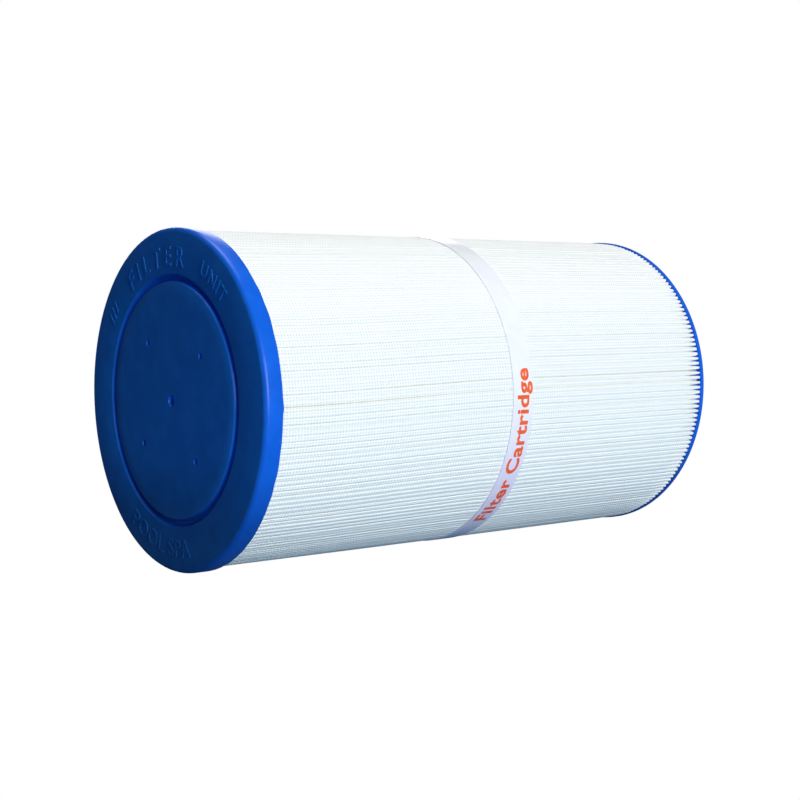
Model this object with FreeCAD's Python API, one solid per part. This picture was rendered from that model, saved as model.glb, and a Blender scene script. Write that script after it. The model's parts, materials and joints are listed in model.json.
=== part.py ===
import FreeCAD, Part

import math
import os

# Pool filter cartridge, lying on its side. Millimetres.
# The cartridge's axis is +X, and +Z is up. The origin is on the axis at the outlet adaptor's
# sealing face, where its male thread starts. The closed end points to -X, the outlet to +X.

V = FreeCAD.Vector
AXIS = V(1, 0, 0)

# ---- driving dimensions ----

# overall
BODY_LENGTH = 266.7  # from the closed cap's outer face to the open cap's outer face
FLANGE_PROUD = 1.0  # how far the adaptor's sealing face stands out of the open cap

# closed end cap, cast polyurethane
CLOSED_CAP_RIM = 1.4  # how far it stands out past the pleats
CLOSED_CAP_HEIGHT = 8.7
CLOSED_CAP_ROUND = 2.2  # rounding of its outer edge
CAP_BACK_ROUND = 0.6  # rounding of the edge next to the pleats
GROOVE_OUTER_RADIUS = 56.2
GROOVE_WIDTH = 4.2
GROOVE_DEPTH = 2.6
DIMPLE_CIRCLE_RADIUS = 32.5
DIMPLE_RADIUS = 1.1
DIMPLE_DEPTH = 0.8
DIMPLE_COUNT = 4
DIMPLE_START_DEG = 51.0  # from +Y towards +Z
CENTRE_DIMPLE_RADIUS = 2.0
CENTRE_DIMPLE_DEPTH = 1.4

# open end cap, cast polyurethane
OPEN_CAP_RIM = 0.5
OPEN_CAP_HEIGHT = 5.0
OPEN_CAP_ROUND = 1.2

# pleated sheet
PLEAT_COUNT = 190
PLEAT_TIP_RADIUS = 74.8
MEDIA_THICKNESS = 0.45
# the pitch that two plies leave free lies inside the fold and between it and the next one
TIP_INSIDE_SHARE = 0.64  # the share inside the fold, at the pleat's tip
ROOT_INSIDE_SHARE = 0.5  # and at its root
CLOSED_POTTING = 4.5  # how deep the pleats sit in the closed cap
OPEN_POTTING = 3.0

# perforated core, two halves
CORE_RADIUS = 36.0
CORE_WALL = 2.4
CORE_GAP = 0.3  # between the core and the pleats' inner folds
CORE_JOINT = 133.0  # from the closed cap's outer face to where the halves meet
SPIGOT_LENGTH = 8.0
SPIGOT_CLEARANCE = 0.1
WINDOWS_ROUND = 12  # an even number
WINDOW_WIDTH = 12.0  # round the core
WINDOW_LENGTH = 11.0  # along the core
WINDOW_PITCH = 15.0
CORE_END_BAND = 12.0  # plain wall at each end of each half

# plug that closes the core
PLUG_THICKNESS = 2.0
PLUG_SKIRT = 6.0
PLUG_WALL = 1.5
PLUG_CLEARANCE = 0.1

# outlet adaptor
THREAD_RADIUS = 24.0
THREAD_DEPTH = 1.7
THREAD_PITCH = 5.0
THREAD_LENGTH = 25.4
THREAD_CREST = 1.6  # width of the thread's flat top
THREAD_ROOT = 1.2  # width of the groove's floor
LEAD_CHAMFER = 1.5
NOSE_STEP = 0.3  # from the thread's root down to the plain nose ahead of it
NOSE_LENGTH = 3.0
ADAPTOR_WALL = 3.3  # from the thread's root to the bore
FLANGE_MARGIN = 7.0  # from the thread's crest to the edge of the flange that shows
FLANGE_THICKNESS = 4.0
PLATE_THICKNESS = 2.0  # the wider back of the flange, cast into the open cap
ADAPTOR_SKIRT = 14.0  # how far it reaches into the core, behind the flange
ADAPTOR_SKIRT_WALL = 2.2
ADAPTOR_CLEARANCE = 0.1

# gasket
GASKET_THICKNESS = 2.5
GASKET_CLEARANCE = 0.4  # round the thread
GASKET_MARGIN = 1.0  # flange left bare outside the gasket

# band round the pleats
BAND_WIDTH = 12.0
BAND_THICKNESS = 0.45
BAND_CENTRE = 141.0  # from the closed cap's outer face
BAND_LAP_LENGTH = 22.0
BAND_LAP_DEG = 195.0  # where the welded lap is, from -Y towards +Z

# seam of the sheet
SEAM_DEPTH = 14.0  # along the radius
SEAM_CLEARANCE = 0.02
SEAM_GAP = 93  # which gap between pleats it fills, counted from +Y towards +Z

# ---- places worked out from them ----

OPEN_FACE = -FLANGE_PROUD
CLOSED_FACE = OPEN_FACE - BODY_LENGTH
CLOSED_INNER = CLOSED_FACE + CLOSED_CAP_HEIGHT
OPEN_INNER = OPEN_FACE - OPEN_CAP_HEIGHT
MEDIA_START = CLOSED_INNER - CLOSED_POTTING
MEDIA_END = OPEN_INNER + OPEN_POTTING
CLOSED_CAP_RADIUS = PLEAT_TIP_RADIUS + CLOSED_CAP_RIM
OPEN_CAP_RADIUS = PLEAT_TIP_RADIUS + OPEN_CAP_RIM
MEDIA_ROOT_RADIUS = CORE_RADIUS + CORE_GAP
CORE_BORE = CORE_RADIUS - CORE_WALL
THREAD_ROOT_RADIUS = THREAD_RADIUS - THREAD_DEPTH
NOSE_RADIUS = THREAD_ROOT_RADIUS - NOSE_STEP
BORE_RADIUS = THREAD_ROOT_RADIUS - ADAPTOR_WALL
FLANGE_RADIUS = THREAD_RADIUS + FLANGE_MARGIN
CORE_SPLIT = CLOSED_FACE + CORE_JOINT
PLATE_FRONT = PLATE_THICKNESS - FLANGE_THICKNESS
PLEAT_TURN = 2 * math.pi / PLEAT_COUNT


def fold_width(radius, inside_share):
    """How wide one pleat is over both plies, at a radius."""
    plies = 2 * MEDIA_THICKNESS
    return plies + inside_share * (PLEAT_TURN * radius - plies)


TIP_FOLD_WIDTH = fold_width(PLEAT_TIP_RADIUS, TIP_INSIDE_SHARE)
ROOT_FOLD_WIDTH = fold_width(MEDIA_ROOT_RADIUS, ROOT_INSIDE_SHARE)


def disc(radius, start, end):
    """A solid cylinder on the axis, between two places along it."""
    return Part.makeCylinder(radius, end - start, V(start, 0, 0), AXIS)


def tube(outer, inner, start, end):
    """A plain tube on the axis."""
    return disc(outer, start, end).cut(disc(inner, start - 1, end + 1))


def rounded_disc(radius, start, end, start_round, end_round):
    """A cylinder on the axis with a rounding at each rim."""
    body = disc(radius, start, end)
    for place, size in ((start, start_round), (end, end_round)):
        rims = [
            e
            for e in body.Edges
            if abs(e.CenterOfMass.x - place) < 1e-6 and len(e.Vertexes) == 1
        ]
        body = body.makeFillet(size, rims)
    return body


def on_circle(x, radius, degrees):
    """A point at a place along the axis, at an angle from +Y towards +Z."""
    turn = math.radians(degrees)
    return V(x, radius * math.cos(turn), radius * math.sin(turn))


def closed_end_cap():
    cap = rounded_disc(
        CLOSED_CAP_RADIUS, CLOSED_FACE, CLOSED_INNER, CLOSED_CAP_ROUND, CAP_BACK_ROUND
    )
    groove_inner = GROOVE_OUTER_RADIUS - GROOVE_WIDTH
    cap = cap.cut(
        tube(GROOVE_OUTER_RADIUS, groove_inner, CLOSED_FACE - 1, CLOSED_FACE + GROOVE_DEPTH)
    )
    cap = cap.cut(disc(CENTRE_DIMPLE_RADIUS, CLOSED_FACE - 1, CLOSED_FACE + CENTRE_DIMPLE_DEPTH))
    for n in range(DIMPLE_COUNT):
        angle = DIMPLE_START_DEG + n * 360 / DIMPLE_COUNT
        base = on_circle(CLOSED_FACE - 1, DIMPLE_CIRCLE_RADIUS, angle)
        cap = cap.cut(Part.makeCylinder(DIMPLE_RADIUS, DIMPLE_DEPTH + 1, base, AXIS))
    # slot for the core's end, which the cap is cast round
    return cap.cut(tube(CORE_RADIUS, CORE_BORE, MEDIA_START, CLOSED_INNER + 1))


def open_end_cap():
    cap = rounded_disc(OPEN_CAP_RADIUS, OPEN_INNER, OPEN_FACE, CAP_BACK_ROUND, OPEN_CAP_ROUND)
    # the adaptor's flange fills the middle, with its wider plate and the core's end behind it
    cap = cap.cut(disc(FLANGE_RADIUS, OPEN_INNER - 1, OPEN_FACE + 1))
    return cap.cut(disc(CORE_RADIUS, OPEN_INNER - 1, PLATE_FRONT))


def ring_of(points_of_pleat):
    """A closed wire on the YZ plane from the points that one pleat gives at each turn."""
    points = []
    for n in range(PLEAT_COUNT):
        points += points_of_pleat(n * PLEAT_TURN)
    return Part.makePolygon(points + points[:1])


def fold_points(tip_radius, tip_width, root_radius, root_width):
    """Gives a function of the pleat's angle: its two root corners and its two tip corners."""

    def corners(angle):
        half_tip = tip_width / 2 / tip_radius
        half_root = root_width / 2 / root_radius
        turns = (
            (root_radius, angle - half_root),
            (tip_radius, angle - half_tip),
            (tip_radius, angle + half_tip),
            (root_radius, angle + half_root),
        )
        return [on_circle(MEDIA_START, r, math.degrees(a)) for r, a in turns]

    return corners


def pleated_media():
    ply = MEDIA_THICKNESS
    outside = fold_points(
        PLEAT_TIP_RADIUS, TIP_FOLD_WIDTH, MEDIA_ROOT_RADIUS + ply, ROOT_FOLD_WIDTH
    )
    inside = fold_points(
        PLEAT_TIP_RADIUS - ply,
        TIP_FOLD_WIDTH - 2 * ply,
        MEDIA_ROOT_RADIUS,
        ROOT_FOLD_WIDTH - 2 * ply,
    )
    section = Part.makeFace([ring_of(outside), ring_of(inside)], "Part::FaceMakerBullseye")
    return section.extrude(V(MEDIA_END - MEDIA_START, 0, 0))


def media_seam():
    """Fills one gap between two pleats, near their tips."""
    outer = PLEAT_TIP_RADIUS - MEDIA_THICKNESS
    inner = outer - SEAM_DEPTH
    root = MEDIA_ROOT_RADIUS + MEDIA_THICKNESS

    def half_gap(radius):
        share = (radius - root) / (PLEAT_TIP_RADIUS - root)
        fold = ROOT_FOLD_WIDTH + share * (TIP_FOLD_WIDTH - ROOT_FOLD_WIDTH)
        return (PLEAT_TURN * radius - fold) / 2 - SEAM_CLEARANCE

    corners = [
        V(CLOSED_INNER, inner, -half_gap(inner)),
        V(CLOSED_INNER, outer, -half_gap(outer)),
        V(CLOSED_INNER, outer, half_gap(outer)),
        V(CLOSED_INNER, inner, half_gap(inner)),
    ]
    strip = Part.Face(Part.makePolygon(corners + corners[:1]))
    strip = strip.extrude(V(OPEN_INNER - CLOSED_INNER, 0, 0))
    strip.rotate(V(0, 0, 0), AXIS, math.degrees((SEAM_GAP + 0.5) * PLEAT_TURN))
    return strip


def pleat_band():
    start = CLOSED_FACE + BAND_CENTRE - BAND_WIDTH / 2
    end = start + BAND_WIDTH
    outer = PLEAT_TIP_RADIUS + BAND_THICKNESS
    hoop = tube(outer, PLEAT_TIP_RADIUS, start, end)
    lap_turn = math.degrees(BAND_LAP_LENGTH / outer)
    lap = Part.makeCylinder(outer + BAND_THICKNESS, BAND_WIDTH, V(start, 0, 0), AXIS, lap_turn)
    lap = lap.cut(disc(outer, start - 1, end + 1))
    # the cylinder's sweep starts at a place that its own axes set, so the lap is turned by its middle
    middle = lap.Solids[0].CenterOfMass
    now = math.degrees(math.atan2(middle.z, middle.y))
    lap.rotate(V(0, 0, 0), AXIS, 180 - BAND_LAP_DEG - now)
    return hoop.fuse(lap).removeSplitter()


def window_rows(start, end):
    """Places of the window rows that fit between the plain bands of one core half, centred."""
    room = end - start - 2 * CORE_END_BAND
    count = int((room - WINDOW_LENGTH) // WINDOW_PITCH) + 1
    first = (start + end) / 2 - (count - 1) * WINDOW_PITCH / 2
    return [first + n * WINDOW_PITCH for n in range(count)]


def core_half(start, end):
    """A tube with rows of windows, cut by bars that pass right through it."""
    wall = tube(CORE_RADIUS, CORE_BORE, start, end)
    bars = []
    for x in window_rows(start, end):
        for n in range(WINDOWS_ROUND // 2):
            bar = Part.makeBox(
                WINDOW_LENGTH,
                2 * CORE_RADIUS + 2,
                WINDOW_WIDTH,
                V(x - WINDOW_LENGTH / 2, -CORE_RADIUS - 1, -WINDOW_WIDTH / 2),
            )
            bar.rotate(V(0, 0, 0), AXIS, n * 360 / WINDOWS_ROUND)
            bars.append(bar)
    return wall.cut(bars)


def core_closed_half():
    """Carries the spigot that plugs into the other half."""
    half = core_half(MEDIA_START, CORE_SPLIT)
    spigot_radius = CORE_BORE - SPIGOT_CLEARANCE
    shoulder = tube(CORE_BORE, spigot_radius - CORE_WALL, CORE_SPLIT - SPIGOT_LENGTH, CORE_SPLIT)
    spigot = tube(
        spigot_radius, spigot_radius - CORE_WALL, CORE_SPLIT, CORE_SPLIT + SPIGOT_LENGTH
    )
    return half.fuse([shoulder, spigot]).removeSplitter()


def core_open_half():
    return core_half(CORE_SPLIT, -FLANGE_THICKNESS)


def core_plug():
    radius = CORE_BORE - PLUG_CLEARANCE
    lid = disc(radius, CLOSED_INNER, CLOSED_INNER + PLUG_THICKNESS)
    skirt = tube(radius, radius - PLUG_WALL, CLOSED_INNER, CLOSED_INNER + PLUG_SKIRT)
    return lid.fuse(skirt).removeSplitter()


def thread_groove():
    """The helical groove between the thread's ridges, long enough to run out at both ends."""
    over = 0.6  # how far the cutter stands out of the thread's crest
    turns_length = THREAD_LENGTH + 2 * THREAD_PITCH
    mouth = THREAD_PITCH - THREAD_CREST
    slope = (mouth - THREAD_ROOT) / 2 / THREAD_DEPTH
    floor_radius = THREAD_ROOT_RADIUS
    outer_radius = THREAD_RADIUS + over
    half_floor = THREAD_ROOT / 2
    half_outer = half_floor + slope * (THREAD_DEPTH + over)
    helix = Part.makeHelix(THREAD_PITCH, turns_length, floor_radius)
    corners = [
        V(floor_radius, 0, -half_floor),
        V(outer_radius, 0, -half_outer),
        V(outer_radius, 0, half_outer),
        V(floor_radius, 0, half_floor),
    ]
    profile = Part.makePolygon(corners + corners[:1])
    cutter = Part.Wire(helix).makePipeShell([profile], True, True)
    cutter.rotate(V(0, 0, 0), V(0, 1, 0), 90)
    cutter.translate(V(-THREAD_PITCH, 0, 0))
    return cutter


def threaded_adaptor():
    stem = disc(THREAD_RADIUS, 0, THREAD_LENGTH)
    tip = [
        e
        for e in stem.Edges
        if abs(e.CenterOfMass.x - THREAD_LENGTH) < 1e-6 and len(e.Vertexes) == 1
    ]
    stem = stem.makeChamfer(LEAD_CHAMFER, tip).cut(thread_groove())
    stem_end = THREAD_LENGTH + NOSE_LENGTH
    nose = disc(NOSE_RADIUS, 0, stem_end)
    flange = disc(FLANGE_RADIUS, PLATE_FRONT, 0)
    plate = disc(CORE_RADIUS, -FLANGE_THICKNESS, PLATE_FRONT)
    skirt_radius = CORE_BORE - ADAPTOR_CLEARANCE
    skirt_end = -FLANGE_THICKNESS - ADAPTOR_SKIRT
    skirt = disc(skirt_radius, skirt_end, -FLANGE_THICKNESS)
    cavity = disc(skirt_radius - ADAPTOR_SKIRT_WALL, skirt_end - 1, -FLANGE_THICKNESS)
    body = flange.fuse([plate, stem, nose, skirt.cut(cavity)])
    return body.cut(disc(BORE_RADIUS, skirt_end - 1, stem_end + 1))


def adaptor_gasket():
    return tube(
        FLANGE_RADIUS - GASKET_MARGIN, THREAD_RADIUS + GASKET_CLEARANCE, 0, GASKET_THICKNESS
    )


PIECES = (
    closed_end_cap,
    open_end_cap,
    pleated_media,
    media_seam,
    pleat_band,
    core_closed_half,
    core_open_half,
    core_plug,
    threaded_adaptor,
    adaptor_gasket,
)

os.makedirs("parts", exist_ok=True)
for piece in PIECES:
    shape = piece()
    shape = shape.Solids[0] if len(shape.Solids) == 1 else shape
    shape.exportStep(f"parts/{piece.__name__}.step")
    box = shape.BoundBox
    print(
        f"{piece.__name__}: {len(shape.Solids)} solid, {len(shape.Faces)} faces, "
        f"{shape.Volume / 1000:.2f} cm3, valid {shape.isValid()}, "
        f"x {box.XMin:.2f} to {box.XMax:.2f}, radius {box.YMax:.2f}"
    )
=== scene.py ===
# %% [markdown]
# # A pleated filter cartridge for a pool or spa
#
# The real cartridge is one long sheet of white spunbond polyester, folded into 190 pleats and
# closed to a ring. A perforated plastic core holds it from inside, and both ends are cast into
# blue polyurethane. A printed plastic band keeps the pleats evenly spaced, and a white threaded
# adaptor carries the water out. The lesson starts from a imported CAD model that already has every
# size, so a piece is never fitted by eye: it goes where the CAD says. +X runs along the axis out
# of the outlet, +Z is up, and all lengths are metres.

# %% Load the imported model
import json
import math
import random

import bpy
from mathutils import Matrix, Vector, noise

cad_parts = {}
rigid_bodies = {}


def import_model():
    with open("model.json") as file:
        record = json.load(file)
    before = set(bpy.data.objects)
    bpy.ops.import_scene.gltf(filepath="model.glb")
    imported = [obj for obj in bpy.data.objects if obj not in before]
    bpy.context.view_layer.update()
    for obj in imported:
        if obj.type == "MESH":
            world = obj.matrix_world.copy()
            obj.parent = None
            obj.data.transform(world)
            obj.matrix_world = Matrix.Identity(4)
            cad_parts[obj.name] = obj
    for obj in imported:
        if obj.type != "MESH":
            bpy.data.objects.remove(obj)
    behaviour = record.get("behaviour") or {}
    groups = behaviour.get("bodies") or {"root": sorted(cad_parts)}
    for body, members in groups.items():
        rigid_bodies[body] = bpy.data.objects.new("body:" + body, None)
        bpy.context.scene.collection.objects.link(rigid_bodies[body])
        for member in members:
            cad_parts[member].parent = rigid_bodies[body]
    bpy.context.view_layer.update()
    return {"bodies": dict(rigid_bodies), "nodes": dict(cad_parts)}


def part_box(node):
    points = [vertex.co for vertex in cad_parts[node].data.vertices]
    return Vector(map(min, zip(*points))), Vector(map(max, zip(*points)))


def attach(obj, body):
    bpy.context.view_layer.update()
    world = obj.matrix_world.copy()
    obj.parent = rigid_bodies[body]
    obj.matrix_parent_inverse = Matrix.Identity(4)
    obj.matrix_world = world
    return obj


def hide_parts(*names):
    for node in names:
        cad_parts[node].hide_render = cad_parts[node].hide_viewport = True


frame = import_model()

MM = 0.001

# %% [markdown]
# ## Camera
#
# The cartridge lies on its side and is seen from its closed end, a little above the middle. The
# camera gets a plain place and turn rather than an aiming constraint. A lens of 67 mm from 0.8 m
# gives the strong taper towards the outlet.

# %% Camera
CAMERA_PLACE = Vector((-590.8, -575.3, 44.8)) * MM
CAMERA_AIM = Vector((-139.7, 0.0, -5.0)) * MM
LENS_MM = 66.8

bpy.ops.object.select_all(action="DESELECT")
aim = (CAMERA_AIM - CAMERA_PLACE).to_track_quat("-Z", "Y").to_euler()
bpy.ops.object.camera_add(location=CAMERA_PLACE, rotation=aim)
camera = bpy.context.object
camera.name = "camera"
camera.data.lens = LENS_MM
camera.data.clip_start = 0.01
bpy.context.scene.camera = camera
print("camera is", round((CAMERA_AIM - CAMERA_PLACE).length, 3), "m from what it looks at")

# %% [markdown]
# ## Places read from the CAD
#
# Every later step asks for the same few places: the caps' faces, the pleats' ends and radii, and
# the band. Reading them once from the CAD nodes keeps the lesson free of copied sizes.

# %% Places
cap_low, cap_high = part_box("closed_end_cap")
open_low, open_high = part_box("open_end_cap")
media_low, media_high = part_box("pleated_media")
band_low, band_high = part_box("pleat_band")

CLOSED_FACE = cap_low.x
CLOSED_BACK = cap_high.x
CAP_RADIUS = cap_high.z
OPEN_BACK = open_low.x
OPEN_FACE = open_high.x
OPEN_RADIUS = open_high.z
MEDIA_START = media_low.x
MEDIA_END = media_high.x
TIP_RADIUS = round(media_high.z, 4)
BAND_START = band_low.x
BAND_END = band_high.x
BAND_MIDDLE = (BAND_START + BAND_END) / 2
BAND_RADIUS = band_high.z
print("closed face", CLOSED_FACE, "open face", OPEN_FACE, "pleat tips", TIP_RADIUS)

# %% [markdown]
# ## Small helpers
#
# An operator acts on everything that is selected, so each piece starts with nothing selected.
# Edges and faces are then picked in code by where they are.

# %% Helpers
def only(piece):
    """Leaves one piece selected and active."""
    bpy.ops.object.select_all(action="DESELECT")
    piece.select_set(True)
    bpy.context.view_layer.objects.active = piece
    return piece


def pick(piece, mode, wanted):
    """Selects the vertices, edges or faces whose middle is wanted, and stays in edit mode."""
    only(piece)
    bpy.ops.object.mode_set(mode="EDIT")
    bpy.ops.mesh.select_mode(type=mode)
    bpy.ops.mesh.select_all(action="DESELECT")
    bpy.ops.object.mode_set(mode="OBJECT")
    mesh = piece.data
    items = {"VERT": mesh.vertices, "EDGE": mesh.edges, "FACE": mesh.polygons}[mode]
    for item in items:
        if mode == "VERT":
            middle = item.co
        elif mode == "EDGE":
            a, b = item.vertices
            middle = (mesh.vertices[a].co + mesh.vertices[b].co) / 2
        else:
            middle = item.center
        item.select = bool(wanted(middle, item))
    bpy.ops.object.mode_set(mode="EDIT")


def settle_place(piece):
    """Moves a piece's place, turn and size into its mesh, so that its object sits at the origin."""
    only(piece)
    bpy.ops.object.transform_apply(location=True, rotation=True, scale=True)


def apply_all(piece):
    """Applies each modifier in turn."""
    only(piece)
    for modifier in list(piece.modifiers):
        bpy.ops.object.modifier_apply(modifier=modifier.name)


def smooth_by_angle(piece, degrees):
    """Smooth shading, with edges sharper than this angle kept crisp."""
    only(piece)
    bpy.ops.object.shade_smooth_by_angle(angle=math.radians(degrees))


def report(piece):
    """Prints how many faces a piece has, and its box."""
    low = Vector([min(v.co[k] for v in piece.data.vertices) for k in range(3)])
    high = Vector([max(v.co[k] for v in piece.data.vertices) for k in range(3)])
    sizes = [round((b - a) / MM, 2) for a, b in zip(low, high)]
    print(piece.name, len(piece.data.polygons), "faces,", sizes, "mm")


def from_axis(point):
    """How far a point is from the cartridge's axis."""
    return math.hypot(point.y, point.z)


# %% [markdown]
# ## The pleated sheet
#
# The real sheet is folded by machine, gathered into a ring and glued along one seam. Packed this
# tightly the folds almost touch, so all one sees is soft ridges with fine dark lines between
# them. The sheet could be a flat texture on a tube, but the ridges, the pointed ends at the
# outlet and the outline need real folds. A modifier chain would make 190 equal ones. Here the
# sheet is one mesh, written ring by ring: each ring crosses all pleats, and slow random waves
# make every fold drift, swell and lean a little. Pulling the band round had twisted the pleats,
# so they also turn a few degrees from end to end.

# %% How the pleats lie
PLEATS = 190
TURN = 2 * math.pi / PLEATS
ROOT_RADIUS = 36.4 * MM
RING_START = math.radians(2.2)  # turns the whole ring, so that its seam lies where the glue is
TWIST_AT_BAND = math.radians(2.0)
TWIST_PER_METRE = math.radians(0.5)
GAP_DRIFT = 0.030  # how far a gap strays all along, as a share of one pleat
GAP_SWAY = 0.045  # how far it wanders on its way, as a share of one pleat
FULL = 0.9985  # the share of its slot that a fold fills
POINTED = 0.52  # the share that it loses at its point
POINTS_END = OPEN_BACK + 2.5 * MM  # the folds run to points over the outlet's cap
GATHERED = 14 * MM  # how far before that the folds begin to narrow
SEAM_LINE = 94  # the gap that holds the glue, counted from +Y
SECOND_LINE = 92  # the other edge of the lap, where a little glue came through
SEAM_ROOM = 0.24  # mm that the glue opens its gap at the closed end
SEAM_CLOSES = 0.14  # mm less at the band
SECOND_ROOM = 0.10  # mm at the second line, on most of its way
LAST_ROOM = 0.05  # mm more there, near the outlet
TIP_SWELL = 0.06  # mm that a free tip stands out past the CAD's
TIP_HABIT = 0.05  # mm that one tip differs from the next
TIP_SWAY = 0.07  # mm that a tip rises and falls on its way
BAND_PRESS = 0.05  # mm that the band presses the tips in
BAND_BULGE = 0.22  # mm that the tips swell beside the band
POINT_DROP = 0.20  # mm that a tip sinks towards its point
random.seed(11)


def ease(low, high, value):
    """0 before low, 1 after high, and a smooth rise between them."""
    t = min(max((value - low) / (high - low), 0.0), 1.0)
    return t * t * (3 - 2 * t)


def twist(x):
    """How far the pleats on the near side have climbed at a place along the axis."""
    pulled = ease(MEDIA_START, BAND_START + 8 * MM, x)
    return TWIST_AT_BAND * pulled + TWIST_PER_METRE * (x - MEDIA_START)


def wave(lane, x, wavelength):
    """A slow random wave along the axis, about -1 to 1, that differs from lane to lane."""
    return noise.noise(Vector((x / wavelength, lane * 7.31, 3.7))) * 1.6


gap_habit = [random.gauss(0, 1) for n in range(PLEATS)]
tip_habit = [random.gauss(0, 1) for n in range(PLEATS)]


def fold_line(n, x):
    """The angle of the line between pleat n - 1 and pleat n, from +Y towards +Z."""
    n = n % PLEATS
    drift = GAP_DRIFT * gap_habit[n] + GAP_SWAY * wave(n, x, 60 * MM)
    return (n - 0.5 + drift) * TURN - twist(x) + RING_START


def fill_of(n, x):
    """The share of its slot that a fold fills. Near the outlet's cap it narrows to a point."""
    n = n % PLEATS
    full = FULL + 0.0018 * tip_habit[n] + 0.003 * wave(n + 400, x, 38 * MM)
    near_cap = min(max((x - (POINTS_END - GATHERED)) / GATHERED, 0.0), 1.0)
    slow_start = max(2.3 + 0.8 * gap_habit[n], 1.1)
    return min(full, 1.0) * (1 - (POINTED + 0.06 * tip_habit[n]) * near_cap**slow_start)


def glue_room(n, x):
    """Half the extra width of the gap between pleat n - 1 and pleat n, as an angle."""
    if n == SEAM_LINE:
        wide = SEAM_ROOM - SEAM_CLOSES * ease(MEDIA_START + 10 * MM, BAND_START, x)
    elif n == SECOND_LINE:
        wide = SECOND_ROOM * ease(-235 * MM, -170 * MM, x)
        wide += LAST_ROOM * ease(-60 * MM, -20 * MM, x)
    else:
        return 0.0
    return wide * MM / TIP_RADIUS


def tip_of(n, x):
    """How far a fold's tip is from the axis. The band presses it in, and it swells beside."""
    n = n % PLEATS
    rise = TIP_SWELL + TIP_HABIT * tip_habit[n] + TIP_SWAY * wave(n + 200, x, 70 * MM)
    free = TIP_RADIUS + rise * MM
    pressed = TIP_RADIUS - BAND_PRESS * MM
    from_band = abs(x - BAND_MIDDLE)
    under_band = 1 - ease(6.0 * MM, 7.0 * MM, from_band)
    free += BAND_BULGE * MM * (1 - ease(7 * MM, 13 * MM, from_band))
    drop = ease(POINTS_END - 12 * MM, POINTS_END, x) * POINT_DROP * MM
    return free + (pressed - free) * under_band - drop


print("pleats", PLEATS, "turn from end to end", round(math.degrees(twist(MEDIA_END)), 2), "deg")

# %% [markdown]
# ### One fold, and the rings
#
# A fold is given by points from its left flank over the tip to its right flank: how much of the
# half width each is out, and how far below the tip. A press folds the sheet round a thin blade,
# so the tip is a flat arch and not a sharp edge. The rings stand close together at the outlet,
# where the folds narrow, and far apart in the middle, where little changes.

# %% Build the sheet
# half of a fold: the share of its half width, and mm below its tip
ARCH = ((0.0, 0.0), (0.3, 0.016), (0.56, 0.06), (0.77, 0.125), (0.92, 0.235), (1.0, 0.42))
FOLD = [(-out, drop) for out, drop in reversed(ARCH)] + list(ARCH[1:])
BESIDE_BAND = (-8.5, -7.2, -6.5, -5.9, 5.9, 6.5, 7.2, 8.5)  # mm from the band's middle
BEFORE_POINTS = (18, 14, 11, 8.5, 6.5, 4.8, 3.4, 2.2, 1.1, 0)  # mm before the folds' points


def ring_places():
    """Places of the rings along the axis."""
    before, after = BAND_MIDDLE - 12 * MM, BAND_MIDDLE + 12 * MM
    middle = [-245 * MM + (before + 245 * MM) * n / 9 for n in range(10)]
    middle += [BAND_MIDDLE + d * MM for d in BESIDE_BAND]
    middle += [after + (-30 * MM - after) * n / 8 for n in range(9)]
    closed_end = [MEDIA_START, CLOSED_BACK, CLOSED_BACK + 2 * MM, CLOSED_BACK + 6 * MM]
    outlet_end = [POINTS_END - d * MM for d in BEFORE_POINTS] + [MEDIA_END]
    return closed_end + middle + outlet_end


def sheet_ring(x):
    """The points of one ring, over all folds."""
    points = []
    for n in range(PLEATS):
        start, end = fold_line(n, x), fold_line(n + 1, x)
        end += 2 * math.pi if end < start else 0
        start, end = start + glue_room(n, x), end - glue_room(n + 1, x)
        centre, half = (start + end) / 2, (end - start) / 2 * fill_of(n, x)
        tip = tip_of(n, x)
        points.append((x, ROOT_RADIUS * math.cos(start), ROOT_RADIUS * math.sin(start)))
        for out, drop in FOLD:
            radius = tip - drop * MM
            angle = centre + half * out
            points.append((x, radius * math.cos(angle), radius * math.sin(angle)))
    return points


places = ring_places()
rings = [sheet_ring(x) for x in places]
across = len(rings[0])
sheet_points = [p for ring in rings for p in ring]
sheet_faces = []
for r in range(len(rings) - 1):
    for k in range(across):
        a, b = r * across + k, r * across + (k + 1) % across
        sheet_faces.append((a, b, b + across, a + across))
sheet_mesh = bpy.data.meshes.new("pleated_sheet")
sheet_mesh.from_pydata(sheet_points, [], sheet_faces)
pleated_sheet = bpy.data.objects.new("pleated_sheet", sheet_mesh)
bpy.context.scene.collection.objects.link(pleated_sheet)
report(pleated_sheet)

# %% [markdown]
# ### The sheet's own map
#
# The polyester is embossed with rows of tiny dots, and those rows must follow the folds. So the
# mesh gets a UV map in millimetres of the flat sheet: one way along the axis, the other way
# along the cloth, over every fold. A second layer numbers the folds, for small differences in
# tone. The cloth's flat length also comes out of this: it's the distance walked along one ring.

# %% Map the sheet
middle_ring = rings[len(rings) // 2]
walked = [0.0]
for k in range(across):
    a, b = Vector(middle_ring[k]), Vector(middle_ring[(k + 1) % across])
    walked.append(walked[-1] + (b - a).length)
per_fold = len(FOLD) + 1

flat_map = sheet_mesh.uv_layers.new(name="cloth_mm")
fold_map = sheet_mesh.uv_layers.new(name="fold_number")
for face in sheet_mesh.polygons:
    k = face.index % across
    r = face.index // across
    corners = ((places[r], walked[k]), (places[r], walked[k + 1]))
    corners += ((places[r + 1], walked[k + 1]), (places[r + 1], walked[k]))
    for loop, (along, length) in zip(face.loop_indices, corners):
        flat_map.data[loop].uv = (along / MM, length / MM)
        fold_map.data[loop].uv = ((k // per_fold + 0.5) / PLEATS, (k % per_fold) / per_fold)
sheet_mesh.polygons.foreach_set("use_smooth", [True] * len(sheet_mesh.polygons))

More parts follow.
